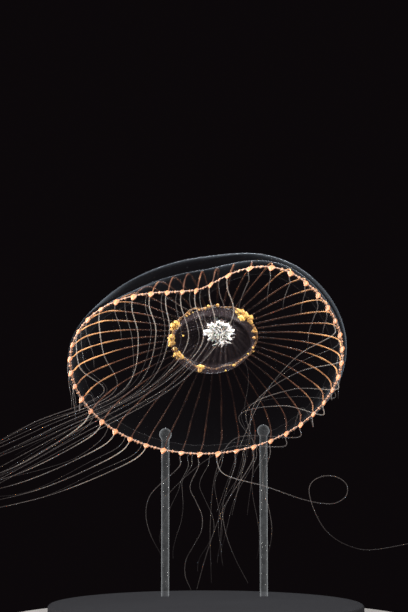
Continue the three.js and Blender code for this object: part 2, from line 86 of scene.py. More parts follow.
# %% Sizes of the bell
MARGIN_RADIUS = 50.0
BELL_HEIGHT = 19.3
HOLLOW_DEPTH = 13.6
RIM_LIFT = 0.95
RIM_OUT = 1.3
RIM_IN = 0.3
OUTER_POWER = 2.1
INNER_POWER = 2.3
LEAN = 0.28
FOLD = dict(share=0.31, at=264.7, left=42.6, right=23.0)
BULGE = dict(share=0.036, at=302.0, width=20.0)
SAG = dict(share=0.06, at=222.0, width=38.0, rise=5.0)
FOLD_REACH = 21.0
FOLD_FADE = 1.25
OUTER_EASE = 0.38
CANALS = 44
PITCH = 360.0 / CANALS
print("canals every", round(PITCH, 2), "degrees")


# %% The surfaces as functions
def off_bearing(angle, at):
    """Difference of two bearings, wrapped to -180..180 degrees."""
    return (angle - at + 180) % 360 - 180


def fold_at(angle):
    """Share by which the margin is drawn in: a lopsided bell curve, less a smaller bulge."""
    off = off_bearing(angle, FOLD["at"])
    width = np.where(off > 0, FOLD["right"], FOLD["left"])
    bulge = BULGE["share"] * np.exp(-(off_bearing(angle, BULGE["at"]) / BULGE["width"]) ** 2)
    return FOLD["share"] * np.exp(-(off / width) ** 2) - bulge


def leaning(x, y, z):
    """Stacks coordinates, with the crown drifted sideways by LEAN times the height."""
    x, y, z = np.broadcast_arrays(x, y, z)
    return np.stack([x + LEAN * z, y, z], axis=-1)


def wall(angle, radius, rise, ease):
    """Radius times (1 - fold share x fade up the wall x square of the share of the radius)."""
    fade = np.clip(1 - rise / FOLD_REACH, 0, None) ** FOLD_FADE
    above = np.minimum(1, rise / SAG["rise"])
    sag = SAG["share"] * np.exp(-(off_bearing(angle, SAG["at"]) / SAG["width"]) ** 2) * above
    spread = np.minimum(1, radius / MARGIN_RADIUS) ** 2
    r = radius * (1 - (fold_at(angle) * fade + sag) * (1 - ease * above) * spread)
    a = np.radians(angle)
    return leaning(r * np.cos(a), r * np.sin(a), rise + RIM_LIFT)


def superellipse(radius, height, power, t):
    """Radius x cos^(2/power) and height x sin^(2/power) of a quarter turn, t from 0 to 1."""
    a = t * math.pi / 2
    return radius * np.clip(np.cos(a), 0, 1) ** (2 / power), height * np.sin(a) ** (2 / power)


def outer_point(angle, t, out=0.0):
    """The outside of the jelly, t = 0 at the margin and 1 at the crown, moved out by `out`."""
    size = (MARGIN_RADIUS + RIM_OUT + out, BELL_HEIGHT - RIM_LIFT + out)
    return wall(angle, *superellipse(*size, OUTER_POWER, t), OUTER_EASE)


def hollow_point(angle, t):
    """The roof of the hollow, t = 0 at the rim and 1 under the crown."""
    size = (MARGIN_RADIUS - RIM_IN, HOLLOW_DEPTH - RIM_LIFT)
    return wall(angle, *superellipse(*size, INNER_POWER, t), 0.0)


def roof_at(radius):
    """Height of the hollow's roof over a radius: the superellipse solved for height."""
    share = np.minimum(1, radius / (MARGIN_RADIUS - RIM_IN))
    return RIM_LIFT + (HOLLOW_DEPTH - RIM_LIFT) * (1 - share ** INNER_POWER) ** (1 / INNER_POWER)


def level_point(angle, radius, height):
    """A circle about the leaning axis, at any height."""
    a = np.radians(angle)
    return leaning(radius * np.cos(a), radius * np.sin(a), height)


def margin_point(angle, inset=0.0, height=0.0):
    """The middle of the ring canal, or so far inside it and above it."""
    return level_point(angle, MARGIN_RADIUS * (1 - fold_at(angle)) - inset, height)


def spot_angle(spot):
    """Bulbs are counted anticlockwise, seen from the mouth side: minus (spot + 1/2) pitches."""
    return -(np.asarray(spot, float) + 0.5) * PITCH


print("lowest margin at", np.round(in_room(margin_point(90.0)) + BELL_CENTRE, 1), "mm")

# %% [markdown]
# ## From arrays to meshes
# Every piece is one or more grids of points. A grid that closes round its second direction is a
# tube, and a pole at each end closes it. Writing the faces as index arrays keeps the script fast,
# and the sign of the enclosed volume tells whether the faces look outward.


# %% Grid and mesh helpers
def grid(rows, loop=False, poles=(None, None), tint=None):
    """Rows of points round a tube, joined by quads; a pole closes an end, `loop` joins the ends."""
    n, m = rows.shape[:2]
    points = rows.reshape(-1, 3)
    tints = np.zeros(n * m) if tint is None else np.broadcast_to(tint, (n, m)).reshape(-1)
    r, c = np.meshgrid(np.arange(n if loop else n - 1), np.arange(m), indexing="ij")
    r, c = r.reshape(-1), c.reshape(-1)
    after, beside = (r + 1) % n, (c + 1) % m
    quads = np.stack([r * m + c, r * m + beside, after * m + beside, after * m + c], axis=1)
    u = np.stack([r, r, r + 1, r + 1], axis=1) / n
    v = np.stack([c, c + 1, c + 1, c], axis=1) / m
    triangles, tu, tv = [], [], []
    ring = np.arange(m)
    for end, pole in enumerate(poles):
        if pole is None:
            continue
        row = 0 if end == 0 else n - 1
        tip = np.full(m, len(points))
        points = np.vstack([points, pole])
        tints = np.append(tints, tints[row * m])
        first, second = row * m + ring, row * m + (ring + 1) % m
        fan = [tip, second, first] if end == 0 else [tip, first, second]
        triangles.append(np.stack(fan, axis=1))
        tu.append(np.full((m, 3), row / n))
        tv.append(np.stack([ring + 0.5, ring, ring + 1], axis=1) / m)
    triangles = np.vstack(triangles) if triangles else np.zeros((0, 3), int)
    uv_quads = np.stack([u, v], axis=-1).reshape(-1, 2)
    uv_tris = np.stack([np.vstack(tu), np.vstack(tv)], axis=-1).reshape(-1, 2) if tu else np.zeros((0, 2))
    return facing_out(dict(points=points, quads=quads, tris=triangles, uvq=uv_quads, uvt=uv_tris, tint=tints))


def facing_out(part):
    """Flips every face when the enclosed volume, the sum of a.(b x c), comes out negative."""
    p = part["points"]
    q, t = part["quads"], part["tris"]
    halves = [q[:, [0, 1, 2]], q[:, [0, 2, 3]]]
    corners = np.vstack(halves + [t] if len(t) else halves)
    a, b, c = p[corners[:, 0]], p[corners[:, 1]], p[corners[:, 2]]
    if np.einsum("ij,ij->", a, np.cross(b, c)) < 0:
        part["quads"] = q[:, ::-1]
        part["tris"] = t[:, ::-1]
        part["uvq"] = part["uvq"].reshape(-1, 4, 2)[:, ::-1].reshape(-1, 2)
        part["uvt"] = part["uvt"].reshape(-1, 3, 2)[:, ::-1].reshape(-1, 2)
    return part


def together(parts):
    """Several grids as one: indices shifted by the points that come before them."""
    shift = np.cumsum([0] + [len(part["points"]) for part in parts])[:-1]
    merged = {key: np.concatenate([part[key] for part in parts]) for key in ("points", "uvq", "uvt", "tint")}
    merged["quads"] = np.vstack([part["quads"] + s for part, s in zip(parts, shift)])
    merged["tris"] = np.vstack([part["tris"] + s for part, s in zip(parts, shift)])
    return merged


def make(name, part, material, nodes, bell_axes=True):
    """Puts a grid into a mesh in metres in the room, and says which frame nodes it stands for."""
    points = part["points"]
    if bell_axes:
        points = in_room(points) + BELL_CENTRE
    mesh = bpy.data.meshes.new(name)
    corners = np.concatenate([part["quads"].reshape(-1), part["tris"].reshape(-1)]).astype(np.int32)
    sizes = np.concatenate([np.full(len(part["quads"]), 4), np.full(len(part["tris"]), 3)])
    starts = np.concatenate([[0], np.cumsum(sizes)[:-1]]).astype(np.int32)
    mesh.vertices.add(len(points))
    mesh.vertices.foreach_set("co", (points * MM).astype(np.float32).reshape(-1))
    mesh.loops.add(len(corners))
    mesh.polygons.add(len(sizes))
    mesh.polygons.foreach_set("loop_start", starts)
    mesh.polygons.foreach_set("vertices", corners)
    mesh.polygons.foreach_set("use_smooth", np.ones(len(sizes), bool))
    uv = mesh.uv_layers.new(name="UVMap")
    uv.data.foreach_set("uv", np.vstack([part["uvq"], part["uvt"]]).astype(np.float32).reshape(-1))
    mesh.attributes.new("tint", "FLOAT", "POINT").data.foreach_set("value", part["tint"].astype(np.float32))
    mesh.update(calc_edges=True)
    mesh.validate()
    mesh.materials.append(material)
    piece = bpy.data.objects.new(name, mesh)
    bpy.context.collection.objects.link(piece)
    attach(piece, "root")
    if nodes:
        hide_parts(*nodes)
    triangles = 2 * len(part["quads"]) + len(part["tris"])
    print(name, "has", triangles, "triangles and stands for", len(nodes), "nodes")
    return piece


def ripple(angle, seed, waves, strength):
    """A smooth closed wobble round a circle: cosines of a few whole numbers of waves, seeded."""
    draw = np.random.default_rng(seed)
    counts = draw.integers(waves[0], waves[1], 5)
    phases = draw.uniform(0, 2 * math.pi, 5)
    total = sum(np.cos(np.radians(angle) * k + p) for k, p in zip(counts, phases))
    return strength * total / 5


# %% [markdown]
# ## Finishes
# A living medusa is lit through and shows as glowing lines on the dark. Each finish mixes a clear
# shader with an ordinary glossy one. Where a skin is seen edge-on there is more of it in the way,
# so the jelly's mix follows the facing angle, as gloss does. Colour changes that belong to the
# animal, such as the orange bulbs, ride on the mesh in an attribute called tint; on the canals
# the tint also carries painted light and shade.


# %% Node helpers
def new_material(name):
    """An empty material with an output node."""
    material = bpy.data.materials.new(name)
    material.use_nodes = True
    tree = material.node_tree
    tree.nodes.clear()
    return material, tree, tree.nodes.new("ShaderNodeOutputMaterial")


def add(tree, kind, inputs=None, **settings):
    """A node with its plain settings, its values, and links for the inputs that are sockets."""
    node = tree.nodes.new(kind)
    for key, value in settings.items():
        setattr(node, key, value)
    for key, value in (inputs or {}).items():
        if isinstance(value, bpy.types.NodeSocket):
            tree.links.new(value, node.inputs[key])
        else:
            node.inputs[key].default_value = value
    return node


def noise(tree, scale, detail=4.0, rough=0.55):
    """Noise on object coordinates, scale in cells per metre."""
    place = add(tree, "ShaderNodeTexCoord")
    return add(tree, "ShaderNodeTexNoise", {"Vector": place.outputs["Object"], "Scale": scale,
                                            "Detail": detail, "Roughness": rough}).outputs["Fac"]


def ramp(tree, factor, stops):
    """A colour ramp from (place, colour) stops."""
    node = add(tree, "ShaderNodeValToRGB", {"Fac": factor})
    spots = node.color_ramp.elements
    while len(spots) < len(stops):
        spots.new(0.5)
    for spot, (place, colour) in zip(spots, stops):
        spot.position = place
        spot.color = (*colour, 1.0)
    return node.outputs["Color"]


def bump(tree, height, strength, distance):
    """A bump node for a height pattern."""
    return add(tree, "ShaderNodeBump", {"Height": height, "Strength": strength,
                                        "Distance": distance}).outputs["Normal"]


def maths(tree, operation, first, second, clamp=False):
    """One arithmetic step."""
    return add(tree, "ShaderNodeMath", {0: first, 1: second}, operation=operation, use_clamp=clamp).outputs[0]


def clear_mix(tree, output, opacity, shader):
    """Shows the shader by the opacity and what is behind it by the rest."""
    clear = add(tree, "ShaderNodeBsdfTransparent")
    mix = add(tree, "ShaderNodeMixShader", {"Fac": opacity, 1: clear.outputs[0], 2: shader})
    tree.links.new(mix.outputs[0], output.inputs["Surface"])


def mixed(tree, factor, first, second, blend="MIX"):
    """Two colours mixed."""
    node = add(tree, "ShaderNodeMix", data_type="RGBA", blend_type=blend)
    for index, value in ((0, factor), (6, first), (7, second)):
        if isinstance(value, bpy.types.NodeSocket):
            tree.links.new(value, node.inputs[index])
        else:
            node.inputs[index].default_value = value if index == 0 else (*value, 1.0)
    return node.outputs[2]


print("material helpers ready")


# %% The jelly, the stomach and the tentacles: see-through finishes
def jelly_finish(name, least, most, colour, power):
    """Clear where it faces the eye, misty where it is seen edge-on, with faint cloudy streaks."""
    material, tree, output = new_material(name)
    facing = add(tree, "ShaderNodeLayerWeight", {"Blend": 0.5}).outputs["Facing"]
    edge = maths(tree, "POWER", facing, power)
    cloud = noise(tree, 55.0, 3.0)
    level = maths(tree, "MULTIPLY", edge, maths(tree, "ADD", maths(tree, "MULTIPLY", cloud, 0.7), 0.62))
    opacity = maths(tree, "ADD", maths(tree, "MULTIPLY", level, most - least), least, clamp=True)
    body = add(tree, "ShaderNodeBsdfPrincipled", {
        "Base Color": mixed(tree, cloud, tuple(0.8 * c for c in colour), colour),
        "Roughness": 0.30, "IOR": 1.34, "Specular IOR Level": 0.2,
        "Normal": bump(tree, noise(tree, 140.0, 2.0), 0.10, 0.0004)})
    clear_mix(tree, output, opacity, body.outputs[0])
    return material


def tissue_finish(name, opacity, dull, middle, bright, rough, grain, shine=0.5):
    """Thin living tissue: colour by the tint attribute, broken up by a fine grain."""
    material, tree, output = new_material(name)
    tint = add(tree, "ShaderNodeAttribute", attribute_name="tint").outputs["Fac"]
    speck = noise(tree, grain, 3.0)
    mottle = maths(tree, "MULTIPLY", maths(tree, "SUBTRACT", speck, 0.5), 0.35)
    tone = maths(tree, "ADD", tint, mottle, clamp=True)
    body = add(tree, "ShaderNodeBsdfPrincipled", {
        "Base Color": ramp(tree, tone, [(0.0, dull), (0.5, middle), (1.0, bright)]),
        "Roughness": rough, "IOR": 1.38, "Specular IOR Level": shine,
        "Subsurface Weight": 0.15, "Subsurface Radius": (0.001, 0.0006, 0.0004),
        "Subsurface Scale": 0.5, "Normal": bump(tree, speck, 0.35, 0.0002)})
    if opacity < 1:
        thickness = maths(tree, "ADD", maths(tree, "MULTIPLY", tint, 0.6), 0.4)
        uneven = maths(tree, "MULTIPLY", maths(tree, "ADD", maths(tree, "MULTIPLY", speck, 0.6), 0.7),
                       maths(tree, "MULTIPLY", thickness, opacity), clamp=True)
        clear_mix(tree, output, uneven, body.outputs[0])
    else:
        tree.links.new(body.outputs[0], output.inputs["Surface"])
    return material


JELLY = jelly_finish("clear_jelly", 0.002, 0.27, (0.24, 0.29, 0.35), 4.6)
VELUM = jelly_finish("velum_film", 0.003, 0.07, (0.30, 0.29, 0.30), 2.8)
# The canals' darkest colour is the painted shade at the lowest margin.
CANAL = tissue_finish("canal_gold", 0.92, (0.012, 0.006, 0.006), (0.095, 0.042, 0.026), (0.50, 0.26, 0.11),
                      0.5, 900.0, shine=0.12)
EDGE = tissue_finish("stomach_edge_gold", 0.95, (0.07, 0.045, 0.045), (0.38, 0.21, 0.09),
                     (1.0, 0.62, 0.16), 0.35, 1100.0)
BULBS = tissue_finish("margin_cream_and_orange", 1.0, (0.13, 0.085, 0.065), (0.29, 0.155, 0.095),
                      (0.42, 0.165, 0.075), 0.35, 1500.0)
TENTACLE = tissue_finish("tentacle_grey", 0.19, (0.03, 0.026, 0.028), (0.17, 0.15, 0.145),
                         (0.50, 0.44, 0.38), 0.4, 2500.0, shine=0.2)
THREAD = tissue_finish("fine_tentacle", 0.12, (0.03, 0.025, 0.028), (0.14, 0.125, 0.125),
                       (0.38, 0.35, 0.32), 0.4, 2500.0, shine=0.2)
LIPS = tissue_finish("lip_white", 1.0, (0.80, 0.68, 0.56), (1.0, 0.95, 0.88), (1.0, 1.0, 0.98), 0.3, 1200.0)
STOMACH = tissue_finish("stomach_wall", 0.22, (0.045, 0.034, 0.042), (0.15, 0.115, 0.125),
                        (0.42, 0.35, 0.34), 0.25, 420.0)
print("finishes:", [m.name for m in bpy.data.materials if m.users == 0][:12])

# %% [markdown]
# ## The bell
# The saucer of jelly is one closed skin: up the outside from the margin to the crown, and down
# the roof of the hollow back to the margin. It could be two shells with a modifier for the
# thickness, but the jelly is thick at the crown and thin at the margin, so both sides are
# worked out and joined. The edge between them is rounded by a half circle of rings.

# %% Bell skin
AROUND = 264
angles = np.arange(AROUND) * 360.0 / AROUND
outer_t = (1 - np.linspace(0, 1, 46)[:-1]) ** 1.25
inner_t = np.linspace(0, 1, 40)[:-1] ** 1.15
crown = outer_point(0.0, 1.0)
ceiling = hollow_point(0.0, 1.0)


def outside(t):
    """The outside with a very slight fluting over the canals, fading out at the crown."""
    flute = 0.10 * np.cos(np.radians(angles) * CANALS) * math.sin(math.pi * min(1.0, 1.4 * (1 - t)))
    return outer_point(angles, t, -0.12) + 0.3 * flute[:, None] * np.array([0, 0, 1.0])


up_outside = np.stack([outside(t) for t in outer_t[1:]])
edge_out, edge_in = outer_point(angles, 0.0, -0.12), hollow_point(angles, 0.0)
lip = np.stack([(edge_out + edge_in) / 2 + (edge_out - edge_in) / 2 * math.cos(a)
                - np.array([0, 0, 0.3]) * math.sin(a) for a in np.linspace(0.3, math.pi - 0.3, 6)])
down_inside = np.stack([hollow_point(angles, t) for t in inner_t])
bell_rows = np.concatenate([up_outside, lip, down_inside])
make("bell_jelly", grid(bell_rows, poles=(crown, ceiling)), JELLY, ["bell"])

# %% [markdown]
# ## The canals and the stomach's edge
# Each radial canal is a low ridge under the roof that carries food to the margin. The ridge
# swells and narrows along its way, because the gonads sit on it. A tube with a flattened section
# is carried along the roof; its side direction is the way round the wall, and its height
# direction is the way into the hollow. The tint carries painted light and shade: it is painted down
# to a dark red-brown towards the lowest margin, dimmer at the top and towards the stomach, and brightest at
# the sides.

# %% Canal sizes
CANAL_WIDTH = 0.9
CANAL_HEIGHT = 0.55
GAP = 0.3
STOMACH_RADIUS = 15.1
RIM_MIDDLE = STOMACH_RADIUS * 1.02 + GAP + 0.65
CANAL_STEPS = 64
CANAL_SIDES = 8
crown_ward = np.linspace(0.004, 1, CANAL_STEPS)


def end_of_canal():
    """The share t of the roof at which it is over the middle of the stomach's edge."""
    t = np.linspace(0, 1, 2001)
    radius, _ = superellipse(MARGIN_RADIUS - RIM_IN, HOLLOW_DEPTH - RIM_LIFT, INNER_POWER, t)
    return t[np.argmin(abs(radius - RIM_MIDDLE))]


CANAL_END = end_of_canal()
print("canals end at", round(float(CANAL_END), 3), "of the roof")


def unit(vectors):
    """Vectors over their lengths."""
    return vectors / np.linalg.norm(vectors, axis=-1, keepdims=True)


# Painted shade on the canals: where the tint is darkened, at the lowest margin and at the top, and by how
# much.
PAINTED_SHADE_LOW = dict(at=92.0, width=64.0, loss=0.86)
PAINTED_SHADE_TOP = dict(at=262.0, width=48.0, loss=0.45)


def lit(angle):
    """Painted light and shade on a canal: most shade at the lowest margin, less at the top, most light at the
    sides.
    """
    low = np.exp(-(abs(off_bearing(angle, PAINTED_SHADE_LOW["at"])) / PAINTED_SHADE_LOW["width"]) ** 3)
    top = np.exp(-(off_bearing(angle, PAINTED_SHADE_TOP["at"]) / PAINTED_SHADE_TOP["width"]) ** 2)
    return 1.0 - PAINTED_SHADE_LOW["loss"] * low - PAINTED_SHADE_TOP["loss"] * top


def canal(spot):
    """A flattened tube on the roof: middle + across x width x cos + into x height x sin."""
    draw = np.random.default_rng(100 + spot)
    angle = float(spot_angle(spot))
    t = crown_ward * CANAL_END
    sway = np.sin(crown_ward * draw.uniform(5, 9) + draw.uniform(0, 6))
    wander = 0.35 * sway * np.sin(math.pi * crown_ward)
    path = hollow_point(angle + wander, t)
    along = unit(np.gradient(path, axis=0))
    across = unit(hollow_point(angle + 1, t) - hollow_point(angle - 1, t))
    into = unit(np.cross(along, across))
    side = np.cross(into, along)
    swell = 0.80 + 0.12 * np.sin(crown_ward * draw.uniform(14, 22) + draw.uniform(0, 6))
    swell = swell * np.where(crown_ward < 0.05, 0.75 + 5 * crown_ward, 1.0)
    swell = swell + 0.4 * np.clip(crown_ward - 0.93, 0, 1) / 0.07
    width = 0.72 * swell * CANAL_WIDTH / 2
    height = np.minimum(1, swell) * CANAL_HEIGHT / 2
    turn = np.arange(CANAL_SIDES) * 2 * math.pi / CANAL_SIDES
    middle = path + into * (GAP + CANAL_HEIGHT / 2)
    middle[0] = margin_point(angle, 0.0, 0.2)
    rows = (middle[:, None] + side[:, None] * (width[:, None] * np.cos(turn))[..., None]
            + into[:, None] * (height[:, None] * np.sin(turn))[..., None])
    # Painted light and shade: the tint is darkened at the lowest margin and at the top, and darkened towards
    # the stomach. The random factor per canal and the sine are uneven tone.
    strength = lit(angle) * draw.uniform(0.62, 1.05)
    painted_shade_inward = np.clip((crown_ward - 0.45) / 0.5, 0, 1)
    shade = np.clip(strength * (1 - 0.85 * painted_shade_inward) + 0.06 * np.sin(crown_ward * 20 + spot), 0, 1)
    return grid(rows, poles=(middle[0], middle[-1]), tint=shade[:, None])


# %% [markdown]
# The stomach's edge is a lumpy ring in which all the canals begin. Food shows through it as gold
# and orange lumps, so the ring is thickened and tinted at those places. The angles are given as
# they are seen from the mouth side, anticlockwise from the right.

# %% Stomach edge and canals
LUMPS = [(47, 8, 1.25), (30, 7, 0.5), (152, 8, 0.9), (178, 8, 1.15), (212, 8, 1.05), (250, 5, 0.8),
         (100, 9, 0.25), (125, 5, 0.2), (12, 6, 0.35), (340, 5, 0.15), (300, 8, 0.2)]
ring_angles = np.arange(440) * 360.0 / 440
lump = sum(size * np.exp(-(off_bearing(-ring_angles, seen) / width) ** 2) for seen, width, size in LUMPS)
wobble = ripple(ring_angles, 7, (9, 60), 0.16)
fine = ripple(ring_angles, 8, (60, 130), 0.12)
girth = np.clip(0.34 + lump * 0.52 * (1 + 2.2 * fine) + wobble + fine, 0.2, 1.15)
section = np.arange(14) * 2 * math.pi / 14
ring_shift = ripple(ring_angles, 10, (3, 15), 1.0)[:, None] - 0.3
ring_radius = RIM_MIDDLE - 0.25 - 0.45 * lump[:, None] + ring_shift + girth[:, None] * np.cos(section)
ring_height = (roof_at(RIM_MIDDLE) - GAP - 0.75 - 0.35 * lump[:, None]
               + girth[:, None] * 0.85 * np.sin(section))
ring_rows = level_point(ring_angles[:, None], ring_radius, ring_height)
ring_tint = np.clip(0.22 + 0.95 * lump + ripple(ring_angles, 9, (20, 70), 0.35), 0, 1)
edge_ring = grid(ring_rows, loop=True, tint=ring_tint[:, None])
canal_nodes = [n for n in NODES if n.startswith("radial_canals")]
make("radial_canals", together([canal(spot) for spot in range(CANALS)]), CANAL, canal_nodes)


def fleck(seen, radius, drop, size, seed):
    """A food lump: a ball whose radius is waved by a few cosines, flattened a little."""
    draw = np.random.default_rng(seed)
    lat, lon = np.radians(np.linspace(-75, 75, 9))[:, None], np.radians(np.arange(14) * 360 / 14)[None]
    waves = 1 + 0.22 * np.cos(2 * lon + 3 * lat + draw.uniform(0, 6))
    waves = waves + 0.15 * np.cos(5 * lon - draw.uniform(0, 6))
    r = size * waves
    level = r * np.cos(lat)
    ball = np.stack([level * np.cos(lon), level * np.sin(lon), 0.7 * r * np.sin(lat)], axis=-1)
    middle = level_point(-seen, radius, float(roof_at(radius)) - GAP - drop)
    poles = (middle - [0, 0, 0.7 * size], middle + [0, 0, 0.7 * size])
    return grid(middle + ball, poles=poles, tint=draw.uniform(0.6, 1.0))


flecks = []
food_draw = np.random.default_rng(61)
for seen, width, size in LUMPS:
    for extra in range(int(2 + 5 * size)):
        place = seen + food_draw.normal(0, 0.8 * width)
        radius = RIM_MIDDLE + food_draw.uniform(-1.5, 0.3)
        drop = food_draw.uniform(0.8, 1.9)
        ball_size = food_draw.uniform(0.45, 1.05) * (0.4 + 0.65 * size)
        flecks.append(fleck(place, radius, drop, ball_size, 800 + extra))
for seen, radius in ((322, 13.6), (338, 14.4), (155, 11.5), (246, 12.5), (290, 14.6)):
    flecks.append(fleck(seen, radius, 4.6, 0.34, 900 + seen))
make("stomach_edge", together([edge_ring] + flecks), EDGE, [])

# %% [markdown]
# ## The stomach
# A flat bag under the middle of the roof. Its floor is pleated and drawn up towards the mouth,
# so seen from below the pleats run from the lips to the edge. One profile is carried round the
# leaning axis, and its middle slides over to the mouth, which is off centre.

# %% Stomach bag
STOMACH_DEPTH = 5.2
MOUTH_OFFSET = np.array([3.2, -7.2, 0.0])
MOUTH_RADIUS = 2.6
MOUTH_DROP = 2.6
stomach_top = float(roof_at(STOMACH_RADIUS)) - GAP
bag_angles = np.arange(240) * 360.0 / 240
pleat = ripple(bag_angles, 21, (18, 46), 1.0)
bag_rows, bag_tint = [], []
for share in np.linspace(0.15, 0.97, 10):
    dome = (float(roof_at(0.0)) - float(roof_at(STOMACH_RADIUS)) - GAP / 2) * (1 - share ** 2)
    bag_rows.append(level_point(bag_angles, share * STOMACH_RADIUS, stomach_top + dome - 0.05))
    bag_tint.append(np.full(240, 0.15))
for turn in np.linspace(0.06, 0.94, 9):
    share = 0.97 + 0.05 * math.sin(math.pi * turn)
    bag_rows.append(level_point(bag_angles, share * STOMACH_RADIUS, stomach_top - turn * STOMACH_DEPTH))
    bag_tint.append(np.full(240, 0.20 + 0.15 * turn))
for share in np.linspace(0.02, 1, 26):
    ease = share ** 0.8
    radius = (1 - share) * 0.93 * STOMACH_RADIUS + share * MOUTH_RADIUS
    fold_depth = 0.42 * math.sin(math.pi * min(1, share * 1.02)) * pleat
    height = stomach_top - STOMACH_DEPTH + ease * (STOMACH_DEPTH - MOUTH_DROP) + 0.25 + fold_depth * 0.6
    bag_rows.append(level_point(bag_angles, radius, height) + MOUTH_OFFSET * share)
    bag_tint.append(np.clip(0.22 + 0.9 * pleat * math.sin(math.pi * share) + 0.7 * share ** 3, 0, 1))
bag_top = level_point(0.0, 0.0, stomach_top + float(roof_at(0.0)) - float(roof_at(STOMACH_RADIUS)) - 0.3)
mouth_end = level_point(0.0, 0.0, stomach_top - MOUTH_DROP + 0.4) + MOUTH_OFFSET
make("stomach_bag", grid(np.stack(bag_rows), poles=(bag_top, mouth_end), tint=np.stack(bag_tint)),
     STOMACH, ["stomach"])

# %% [markdown]
# ## The lips
# The mouth ends in soft white lips that are much longer round than the opening they spring from,
# so they ruffle. A trumpet is swept out from the mouth, and its edge is waved by cosines whose
# strength grows towards the rim; two finer waves break up the large one. Thin folds spring from
# the middle, longest on one side, and a core of short ones closes the tuft.

# %% Frilled lips
LIP_REACH = 5.2
LIP_DROP = 3.6
FRINGE_BEARING = 55.0
FRINGES = 110
CORE_FRINGES = 34
lip_angles = np.arange(480) * 0.75
lip_top = stomach_top + GAP - MOUTH_DROP - 2 * GAP
wave_large = np.cos(np.radians(lip_angles * 8))
wave_middle = ripple(lip_angles, 31, (14, 30), 1.6)
wave_fine = ripple(lip_angles, 32, (40, 70), 1.6)
lip_rows, lip_tint = [], []
for share in np.linspace(0, 1, 34):
    opening = 0.42 + 0.10 * share + 0.36 * np.clip((share - 0.3) / 0.7, 0, 1) ** 1.2
    ruffle = share ** 1.3 * (0.10 * wave_large + 0.26 * wave_middle + 0.14 * wave_fine)
    curl = share ** 2 * (0.20 * np.sin(np.radians(lip_angles * 8 + 40)) + 0.5 * wave_middle)
    lip_rows.append(level_point(lip_angles, LIP_REACH * opening * (0.92 + ruffle),
                                lip_top - LIP_DROP * (0.62 * share + 0.12 * curl)) + MOUTH_OFFSET)
    lip_tint.append(0.55 + 0.45 * share + 0.25 * wave_middle * share)
for share in np.linspace(0.97, 0.05, 26):
    opening = 0.08 + 0.26 * share + 0.50 * share ** 3
    ruffle = share * (0.10 * wave_large + 0.30 * wave_middle + 0.20 * wave_fine)
    lip_rows.append(level_point(lip_angles, LIP_REACH * opening * (0.92 + ruffle),
                                lip_top - LIP_DROP * (0.55 * share + 0.38)) + MOUTH_OFFSET)
    lip_tint.append(0.7 + 0.3 * share + 0.3 * wave_fine * share)
lip_start = level_point(0.0, 0.0, lip_top) + MOUTH_OFFSET
lip_end = level_point(0.0, 0.0, lip_top - LIP_DROP * 0.45) + MOUTH_OFFSET
lip_skin = grid(np.stack(lip_rows), poles=(lip_start, lip_end), tint=np.clip(np.stack(lip_tint), 0, 1))


def lip_fringe(number):
    """A short tapering fold of lip: a path that leaves the mouth and curls, and a tube round it."""
    draw = np.random.default_rng(1100 + number)
    way = draw.uniform(0, 360)
    favoured = max(0.0, math.cos(math.radians(off_bearing(way, FRINGE_BEARING))))
    reach = draw.uniform(2.4, 5.2) + 3.4 * favoured
    share = np.linspace(0, 1, 22)
    bend = way + draw.uniform(-30, 30) * share + 7 * np.sin(share * draw.uniform(6, 14) + draw.uniform(0, 6))
    drop = LIP_DROP * (0.30 + draw.uniform(0.1, 0.65) * np.sin(share * draw.uniform(1.2, 2.6)))
    if number >= FRINGES - CORE_FRINGES:
        reach = draw.uniform(1.0, 2.4)
        drop = LIP_DROP * (0.45 + 0.45 * np.sin(0.5 + share * 1.4))
    path = level_point(bend, 0.25 + reach * share * 0.9, lip_top - drop) + MOUTH_OFFSET
    radius = 0.24 * (1 - share) ** 0.8 + 0.045 + 0.03 * np.sin(share * 24 + number)
    radius[-1] *= 0.5
    return path, radius


# %% [markdown]
# ## A tube along a path
# The fringe of the lips and all tentacles are tubes. The section needs two directions square to
# the path. The direction that all of a path's steps have least of is square to most of them, so
# it makes a steady reference with no twist.


# %% Tube
def tube(path, radius, sides, tint):
    """Path + radius x (cos x side + sin x up), side = tangent x the least direction of the steps."""
    along = unit(np.gradient(path, axis=0))
    least = np.linalg.svd(along, full_matrices=False)[2][-1]
    side = unit(np.cross(along, least))
    up = np.cross(side, along)
    turn = np.arange(sides) * 2 * math.pi / sides
    rows = path[:, None] + radius[:, None, None] * (side[:, None] * np.cos(turn)[:, None]
                                                    + up[:, None] * np.sin(turn)[:, None])
    return grid(rows, poles=(path[0], path[-1]), tint=tint[:, None])


fringe = [tube(*lip_fringe(number), 7, np.full(22, 0.9)) for number in range(FRINGES)]
make("frilled_lips", together([lip_skin] + fringe), LIPS, ["mouth_lips"])

# %% [markdown]
# ## The margin
# The ring canal carries a cone-shaped bulb at the root of every tentacle and smaller bulbs
# between them, as young tentacles grow in the gaps. One section is carried round the margin; its
# depth below the ring is a row of narrow bell curves, so the cones rise smoothly out of the
# ring with no joint. The tint follows the depth, which turns the bulbs orange.

